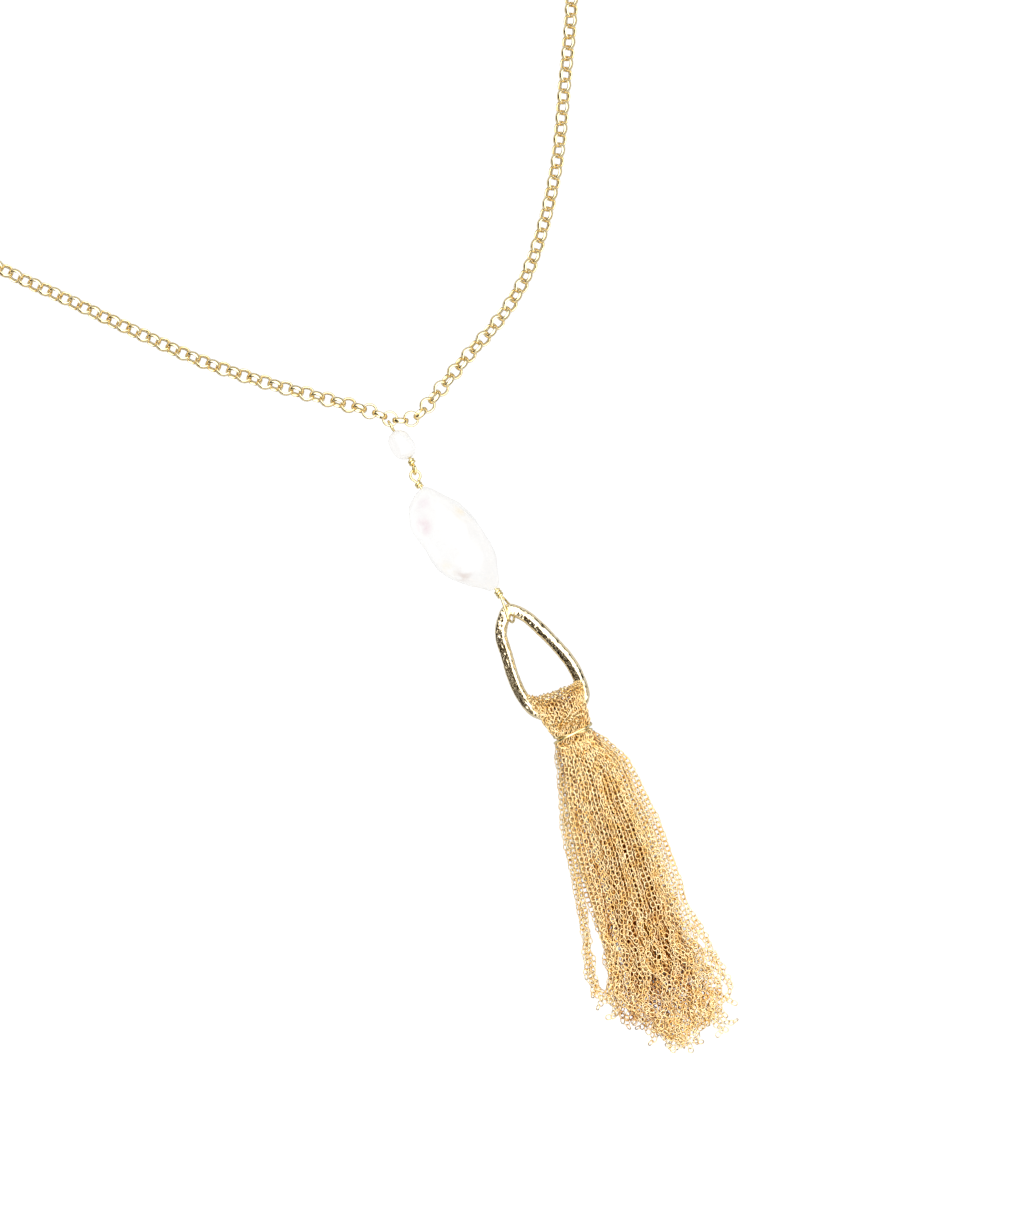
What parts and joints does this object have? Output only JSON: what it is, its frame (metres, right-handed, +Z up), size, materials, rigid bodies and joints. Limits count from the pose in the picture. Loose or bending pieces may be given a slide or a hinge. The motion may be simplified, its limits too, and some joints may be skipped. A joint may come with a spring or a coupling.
{
  "type": "tassel necklace",
  "caption": "Long belcher-chain necklace with a small pearl, a large baroque pearl, a hammered teardrop ring and a tassel of fine chains folded over it.",
  "frame": {"origin": "centre of the bounding box in plan, on the surface that the necklace lies on", "axes": "+Z up from that surface, +Y along the necklace from the pendant towards the back of the neck loop, +X to the right seen from above"},
  "size_m": [0.1936, 0.4362, 0.0112],
  "materials": {
    "chain_metal": "polished pale yellow gold plate",
    "wire_metal": "polished pale yellow gold wire",
    "hammered_metal": "hammered and polished gold plate",
    "tassel_metal": "fine warm gold chain",
    "pearl": "white nacre with a soft lustre"
  },
  "bodies": {
    "root": {"chain_front": "chain_metal", "chain_back": "chain_metal", "clasp": "chain_metal", "small_pearl": "pearl", "small_pearl_wire": "wire_metal", "baroque_pearl": "pearl", "baroque_pearl_wire": "wire_metal", "hammered_ring": "hammered_metal", "tie_wire": "wire_metal", "tassel": "tassel_metal"}
  },
  "joints": []
}
